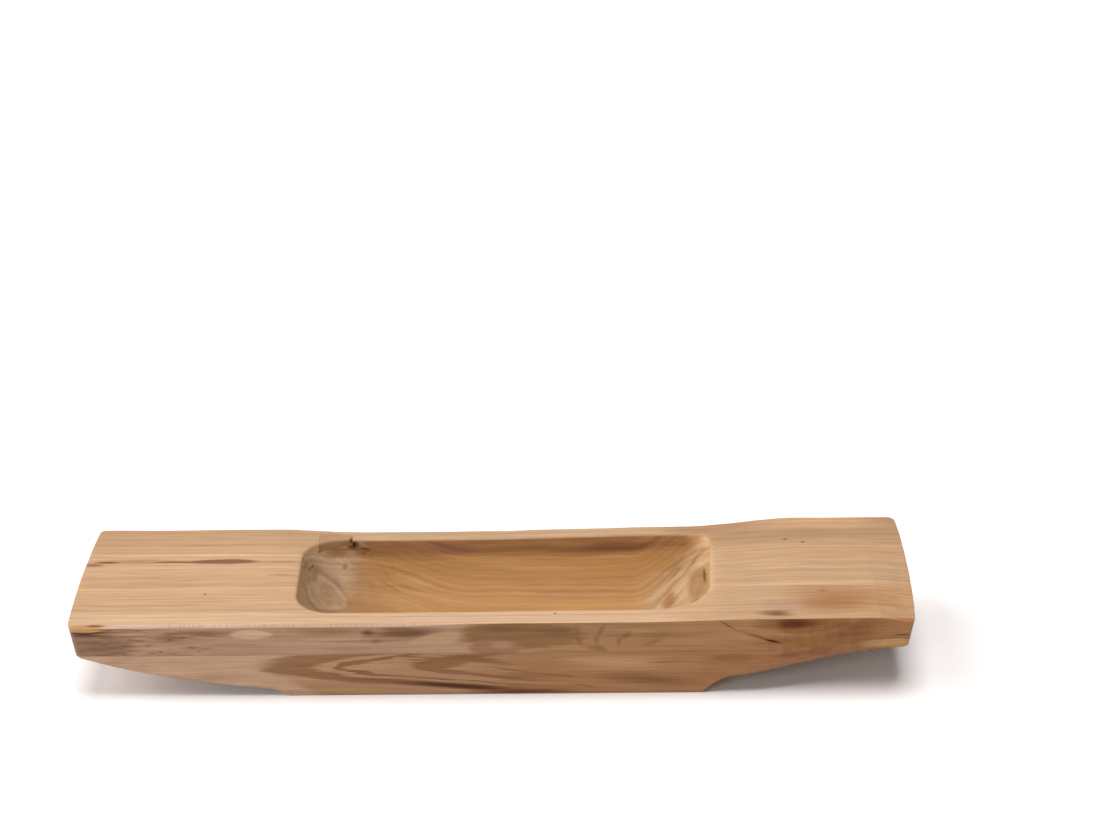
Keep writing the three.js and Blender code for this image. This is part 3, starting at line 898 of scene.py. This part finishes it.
def colour_weathered(wood):
    """The weathered left end of the front: a darker skin with pits and worn spots, and a torn arris."""
    here = wood.climb(wood.x, -184, -214)
    blotch = wood.noise((22, 20, 2.6), detail=5, roughness=0.66, seed=14)
    wood.tint((156, 116, 88), here, wood.climb(blotch, 0.0, 0.14), 0.85)
    wood.tint((224, 187, 153), here, wood.climb(blotch, -0.06, -0.18), 0.75)
    wood.mark((182, 141, 106), (-262, -70, 52), (30, 40, 4), edge=0.7, ragged=0.7)
    wood.mark((174, 134, 108), (-288, -70, 43.6), (38, 40, 11), edge=0.35, ragged=0.55)
    wood.tint((140, 104, 80), wood.climb(wood.x, -252, -262), wood.climb(blotch, 0.06, -0.1), 0.7)
    wood.mark((214, 176, 140), (-256, -70, 52.8), (22, 40, 1.4), edge=0.6, ragged=0.7)
    wood.mark((154, 114, 80), (-228, -70, 50), (18, 40, 5), edge=0.9, ragged=0.9, strength=0.8)
    wood.mark((146, 104, 72), (-206, -70, 53), (32, 40, 3.4), edge=0.8, ragged=0.8, strength=0.85)
    for x, z, size in ((-218.6, 49.4, 1.2), (-235, 37.4, 1.2), (-208, 37.8, 1.0), (-228, 48, 1.0)):
        wood.mark((124, 90, 64), (x, -70, z), (2.6 * size, 40, size), edge=0.95, ragged=0.5, strength=0.8)
    wood.mark((100, 64, 42), (-284, -70, 53.8), (19, 40, 3.4), edge=0.7, ragged=0.9)
    wood.mark((226, 168, 110), (-287, -70, 56.2), (16, 40, 2.2), edge=0.6, ragged=1.1)
    wood.mark((206, 160, 112), (-272, -70, 53.0), (14, 40, 0.9), edge=0.8, ragged=1.0, strength=0.8)


def colour_burr(wood):
    """The rings around a burr that hangs from the top of the front."""
    wood.mark((192, 145, 104), (78, -70, 60), (20, 30, 20), edge=0.5, ragged=0.15)
    for start, end, width in (
        ((58, 60), (56.6, 45), 3.4),
        ((55.6, 50), (62, 38.4), 3.6),
        ((58, 40.4), (82, 36.4), 3.4),
        ((77.5, 61), (70.4, 45.6), 3.2),
        ((71.6, 51), (70, 39), 3.2),
        ((68, 41.4), (80, 35.6), 3.0),
        ((98, 53), (85.6, 44.6), 3.6),
        ((88, 49), (85.6, 38.6), 3.2),
        ((122, 48), (100, 39), 3.6),
    ):
        ends = (start[0], -70, start[1]), (end[0], -70, end[1])
        wood.stroke((158, 112, 72), *ends, width, 30, edge=1, ragged=0.08, strength=0.75)
    wood.mark((178, 130, 90), (112, -70, 48), (24, 40, 5), turn=-16, edge=0.8, ragged=0.3, strength=0.6)


def colour_red_heart(wood):
    """Red heartwood towards the right end, in bands around a dark spot under the arris, and a split."""
    wood.tint((180, 124, 72), wood.climb(wood.sum(wood.x, (wood.ragged, 14)), 190, 212))
    wood.mark((168, 116, 72), (236, -66, 50), (52, 60, 11), turn=-3, edge=0.8, ragged=0.4, strength=0.8)
    wood.ring((204, 150, 98), (214, -66, 60), (38, 60, 14), 0.16, ragged=0.15, strength=0.6)
    wood.mark((136, 82, 40), (207, -68, 57.4), (34, 60, 8), edge=0.9, ragged=0.4)
    wood.mark((104, 50, 14), (210, -68, 57), (20, 60, 7), edge=0.95, ragged=0.3)
    wood.mark((158, 104, 62), (252, -66, 54), (26, 60, 6), edge=0.9, ragged=0.5, strength=0.8)
    wood.mark((158, 104, 64), (250, -60, 44), (26, 60, 3), edge=0.8, ragged=0.7, strength=0.8)
    wood.tint((199, 142, 96), wood.climb(wood.x, 258, 280), 0.7)
    wood.mark((176, 122, 76), (192, -71, 56), (11, 60, 7), edge=0.9, ragged=0.4, strength=0.8)
    # The split, and the wood beside it
    wood.mark((172, 112, 66), (195, -71, 42), (18, 60, 6), edge=0.9, ragged=0.3, strength=0.8)
    wood.mark((206, 152, 104), (198, -70, 49), (16, 60, 3), turn=14, edge=0.8, strength=0.7)
    wood.mark((206, 152, 104), (180, -70, 44), (20, 60, 3), turn=12, edge=0.8, strength=0.5)
    wood.stroke((158, 106, 66), (153, -71, 62.6), (172, -71, 50.4), 1.1, 60, edge=0.8, ragged=0.2)
    wood.stroke((150, 98, 56), (168, -71, 52.4), (202, -71, 40.4), 2.2, 60, edge=0.9, ragged=0.25)
    wood.stroke((44, 18, 6), (187, -71, 44.8), (203, -71, 39.8), 1.2, 60, edge=0.7, ragged=0.25)
    wood.mark((236, 182, 132), (272, -58, 32), (26, 60, 6), edge=0.7, ragged=0.3)
    wood.mark((248, 196, 142), (284, -57, 33), (14, 60, 5), edge=0.7, ragged=0.3)
    wood.stroke((60, 32, 18), (279, -61, 41.0), (296, -58, 42.2), 0.9, 30, edge=0.7, ragged=0.3)


def colour_bevel(wood):
    """The pale bevel along the left half of the front arris, ticked by the plane."""
    wood.tint((220, 188, 164))
    wood.tint((213, 176, 143), wood.climb(wood.x, -190, -140))
    wood.mark((208, 156, 102), (-284, -71, 60), (17, 14, 7), ragged=0.8, edge=0.6)
    wood.mark((136, 94, 60), (-280, -71, 59), (9, 14, 1.0), ragged=0.6, edge=0.8)
    ticks = wood.climb(wood.noise_along(wood.x, 1.3, detail=1), 0.0, 0.12)
    wood.tint((178, 140, 114), ticks, wood.climb(wood.x, -250, -210), 0.55)


def lower_wood():
    """The lower board: flat-sawn close to its heart, so its rings open out along the front."""
    wood = Surface("lower_wood")
    front = wood.climb(front_depth(wood), 6, 4)
    heart_y = wood.math("MULTIPLY_ADD", wood.x, -0.0675, -55)
    across = wood.math("SUBTRACT", wood.y, heart_y)
    height = wood.math("SUBTRACT", wood.z, 26)
    from_heart = wood.math("SQRT", wood.sum(wood.both(across, across), (height, height)))
    wander = wood.noise((150, 34, 26), detail=1, seed=5)
    waver = wood.noise((46, 12, 9), detail=1, seed=6)
    fibres = wood.noise((30, 0.9, 0.9), detail=2, seed=7)
    rings = wood.sum(from_heart, (wander, 4), (waver, 2), (wood.ragged, 2.4))
    lines = wood.noise_along(rings, 2.4, detail=2)
    streaks = wood.noise((60, 3.4, 2.0), detail=4, roughness=0.6, seed=16)
    cloud = wood.noise((110, 30, 30), detail=2, seed=8)
    flow_lines = wood.sum(wood.noise_along(flow_of(wood), 6, detail=3), (fibres, 0.4))

    hollow = wood.both(in_the_hollow(wood), wood.climb(wood.z, 6, 10))
    wood.colour = shade(202, 158, 118)
    wood.region = hollow
    colour_lower_hollow(wood)
    wood.region = front
    colour_lower_front(wood, rings)
    grain = wood.sum(0, (lines, 0.3), (streaks, 0.8), (fibres, 0.35), (cloud, 0.3))
    in_hollow = wood.sum(0, (flow_lines, 0.95), (cloud, 0.4))
    grain = wood.sum(grain, (wood.both(wood.math("SUBTRACT", in_hollow, grain), hollow), 1))
    finish_wood(wood, grain, fibres)
    return wood.material


def colour_lower_hollow(wood):
    """The floor of the hollow: golden, turning paler and greyer where it meets the end walls."""
    wood.tint((190, 141, 88))
    wood.tint((194, 149, 103), wood.climb(wood.x, 96, 124))
    wood.stroke((160, 112, 70), (-97, 46, 34), (-68, 36, 22), 1.6, 5, ragged=0.4, edge=0.8, strength=0.8)
    wood.stroke(
        (162, 114, 70), (-82, 42.5, 28.5), (-48, 36, 22.4), 1.6, 5, ragged=0.4, edge=0.8, strength=0.7
    )
    wood.mark((206, 158, 106), (-64, 44, 30), (26, 8, 4), turn=12, ragged=0.4, edge=0.8, strength=0.8)
    colour_curl(wood)
    colour_fan(wood)


def colour_lower_front(wood, rings):
    """The front of the lower board: pale on the left, nested flames, dark veins and a browner end."""
    wood.tint((202, 155, 116))
    off_centre = wood.math("ABSOLUTE", wood.math("SUBTRACT", wood.z, 22))
    pale = wood.climb(wood.sum(wood.x, (wood.ragged, 10), (off_centre, -1.6)), -154, -168)
    wood.tint((213, 167, 127), wood.climb(wood.x, -60, -90), wood.climb(wood.z, 11, 16))
    wood.tint((224, 183, 149), pale)
    wood.tint((206, 163, 130), pale, wood.climb(wood.ragged, 0.02, 0.16), 0.6)
    wood.tint((235, 197, 163), pale, wood.climb(wood.ragged, -0.02, -0.16), 0.5)
    wood.tint((193, 142, 97), wood.climb(wood.x, -20, 30))
    for radius, width, tone in (
        (24.3, 1.7, (164, 119, 80)),
        (21.6, 0.5, (158, 112, 72)),
        (17.8, 1.1, (163, 115, 73)),
    ):
        off = wood.math("ABSOLUTE", wood.math("SUBTRACT", rings, radius))
        wood.tint(tone, wood.climb(off, width, width * 0.5), wood.climb(wood.x, 60, 10), 0.9)
    # The dark vein that falls to the foot, and the lines above it; along the bottom edge the dark line is
    # partly the vein, partly painted shade where the front meets the floor
    wood.mark((158, 113, 82), (-52, -70, 9.2), (92, 40, 3.2), turn=5.5, edge=0.7, ragged=0.2)
    wood.mark((92, 54, 30), (-26, -70, 7.0), (58, 40, 3.2), turn=5, edge=0.85, ragged=0.2)
    # Dark line along the bottom of the front: partly the vein, partly painted shade where the front meets
    # the floor.
    wood.mark((116, 78, 54), (18, -70, 2), (52, 40, 2.8), edge=0.8, ragged=0.2, strength=0.95)
    wood.mark((158, 110, 74), (-12, -70, 29), (36, 40, 4), turn=7, edge=0.8, ragged=0.6)
    wood.stroke((158, 110, 74), (-13, -70, 24.2), (64, -70, 11.8), 1.0, 40, ragged=0.5, edge=0.8)
    wood.stroke((160, 112, 76), (4, -70, 19.6), (70, -70, 13), 0.8, 40, ragged=0.5, edge=0.8)
    wood.stroke((158, 112, 76), (48, -70, 9.4), (74, -70, 5), 0.9, 40, ragged=0.4, edge=0.8)
    wood.mark((216, 166, 120), (84, -70, 26), (48, 40, 10), edge=0.8, ragged=0.4)
    wood.mark((154, 108, 72), (108, -70, 12), (52, 40, 8), turn=4, edge=0.9, ragged=0.3)
    wood.mark((172, 124, 84), (26, -70, 16.5), (34, 40, 6), edge=0.9, ragged=0.3, strength=0.7)
    wood.stroke((158, 110, 74), (102, -70, 25.4), (132, -70, 26.2), 0.7, 40, ragged=0.5, edge=0.8)
    for x, z in ((-57, 29.4), (-52, 26.8), (-61, 32), (-47, 31)):
        wood.mark((164, 116, 78), (x, -70, z), (11, 40, 0.9), turn=3, ragged=0.8, edge=0.8)
    # The browner end, which begins in ragged steps
    wood.tint((190, 136, 92), wood.climb(wood.sum(wood.x, (wood.ragged, 16)), 142, 150))
    wood.mark((172, 121, 79), (168, -70, 29.6), (22, 40, 5.6), edge=0.5, ragged=0.7)
    wood.mark((166, 113, 72), (228, -66, 30), (16, 60, 5), edge=0.5, ragged=0.8, strength=0.8)
    wood.mark((164, 110, 70), (206, -68, 29.5), (10, 60, 4), edge=0.6, ragged=0.8, strength=0.8)
    wood.mark((238, 182, 122), (282, -57, 32), (30, 60, 8), edge=0.7, ragged=0.3)


def patch_wood():
    """The strip let into the rim: an offcut with its grain along the rim, with painted shade on its upright
    face and in the hole beside it.
    """
    wood = Surface("patch_wood")
    fibres = wood.noise((20, 0.8, 0.8), detail=2, seed=10)
    bands = wood.noise((60, 3, 3), detail=2, seed=11)
    wood.colour = shade(196, 153, 116)
    # Darker below the top of the strip, most of all towards the hole: painted shade on the strip's upright
    # face over the hollow.
    wood.tint((178, 137, 94), wood.climb(wood.z, 57.2, 55), 0.9)
    wood.tint((160, 118, 78), wood.climb(wood.z, 57.2, 55), wood.climb(wood.x, -120, -110), 0.9)
    # Near-black: painted shadow inside the hole beside the strip.
    wood.mark((70, 46, 28), (-106.5, 57, 56), (4, 8, 4), edge=0.9)
    finish_wood(wood, wood.sum(0, (fibres, 0.3), (bands, 0.3)), fibres)
    return wood.material


def set_glue():
    """Set glue in the joints: a brown film on the outside, sanded in with the wood in the hollow."""
    glue = Surface("set_glue")
    glue.colour = shade(164, 122, 86)
    glue.tint((134, 94, 64), glue.climb(glue.noise((12, 3, 3), detail=2, seed=12), -0.05, 0.1))
    inside = glue.both(in_the_hollow(glue), glue.climb(glue.z, 45, 40))
    glue.tint((188, 139, 91), inside)
    glue.tint((206, 170, 134), inside, glue.climb(glue.x, -96, -108))
    glue.tint((184, 144, 104), inside, glue.climb(glue.x, 120, 138))
    glue.feed(glue.shader.inputs["Base Color"], glue.colour)
    glue.shader.inputs["Roughness"].default_value = 0.5
    return glue.material


# The five pieces, each in its place

glue_material = set_glue()
upper_material = upper_wood()
place(layer("lower_board_carved", top=GLUE_BOTTOM), lower_wood(), "lower_wood", "lower_board")
place(layer("seam_film", bottom=GLUE_BOTTOM, top=GLUE_TOP), glue_material, "set_glue", "board_glue")

strip = layer("let_in_strip", bottom=patch_low.z)
socket = box("socket",
             (socket_low.x, HOLLOW_BACK - SOCKET_REACH[0], socket_low.z),
             (socket_high.x, socket_high.y, HIGHEST + SOCKET_REACH[1]))
upper = layer("upper_board_carved", bottom=GLUE_TOP)
patch_box = box("patch_box",
                (patch_low.x, HOLLOW_BACK - STRIP_REACH[0], patch_low.z),
                (patch_high.x, patch_high.y, HIGHEST + STRIP_REACH[1]))
strip_glue = copy_of(strip, "strip_film")
cut_with(strip_glue, copy_of(socket, "film_box"), "INTERSECT")
cut_with(strip_glue, copy_of(patch_box, "film_core"))
cut_with(strip, patch_box, "INTERSECT")
cut_with(upper, socket)
place(upper, upper_material, "upper_wood", "upper_board")
place(strip, patch_wood(), "patch_wood", "rim_patch")
place(strip_glue, glue_material, "set_glue", "patch_glue")
bpy.data.objects.remove(block, do_unlink=True)


# Camera at the photograph's viewing angle

CAMERA_PLACE = (14.22 * MM, -1645.33 * MM, 978.55 * MM)
CAMERA_DIPS = math.radians(25.6337)
CAMERA_TURNS = math.radians(-0.8718)

camera_data = bpy.data.cameras.new("camera")
camera_data.sensor_width = 36
camera_data.lens = 85
camera = bpy.data.objects.new("camera", camera_data)
camera.location = CAMERA_PLACE
camera.rotation_euler = (math.radians(90) - CAMERA_DIPS, 0, CAMERA_TURNS)
bpy.context.collection.objects.link(camera)
bpy.context.scene.camera = camera


# Floor, lights and background

FLOOR_SIZE = 12
DAYLIGHT = (1, 0.84, 0.77, 1)
DAYLIGHT_STRENGTH = 0.1
LAMP_TINT = (1.03, 1, 1)


def paper():
    """White to the eye, with the shadows on it, and a little darker as a source of bounced light."""
    sheet = Surface("paper")
    path = sheet.node("LightPath").outputs
    mirrored = sheet.math("MAXIMUM", path["Is Glossy Ray"], path["Is Transmission Ray"])
    seen = sheet.math("MAXIMUM", path["Is Camera Ray"], mirrored)
    sheet.feed(sheet.shader.inputs["Base Color"], sheet.blend(seen, (0.5, 0.5, 0.5, 1), (1, 1, 1, 1)))
    sheet.shader.inputs["Roughness"].default_value = 1
    sheet.shader.inputs["Specular IOR Level"].default_value = 0
    return sheet.material


bpy.ops.object.select_all(action="DESELECT")
bpy.ops.mesh.primitive_plane_add(size=FLOOR_SIZE, location=(0, 2, 0))
floor = bpy.context.object
floor.name = "floor"
floor.data.materials.append(paper())

world = bpy.data.worlds.new("studio")
world.use_nodes = True
world.node_tree.nodes["Background"].inputs["Color"].default_value = DAYLIGHT
world.node_tree.nodes["Background"].inputs["Strength"].default_value = DAYLIGHT_STRENGTH
bpy.context.scene.world = world


def lamp(name, direction, energy, width):
    """A soft lamp, far off, that shines from the given direction and is so many degrees wide."""
    data = bpy.data.lights.new(name, "SUN")
    data.energy = energy
    data.angle = math.radians(width)
    data.color = LAMP_TINT
    piece = bpy.data.objects.new(name, data)
    piece.rotation_euler = Vector(direction).to_track_quat("Z", "Y").to_euler()
    bpy.context.collection.objects.link(piece)


lamp("top_softbox", (0, 0, 1), 2.17, 36)
lamp("left_softbox", (-0.7, -0.1, 0.7), 0.88, 36)
lamp("low_left_softbox", (-0.9, 0.3, 0.3), 1.9, 40)
lamp("low_front_softbox", (-0.5, -0.8, 0.3), 1.14, 40)

bpy.context.scene.view_settings.view_transform = "Standard"
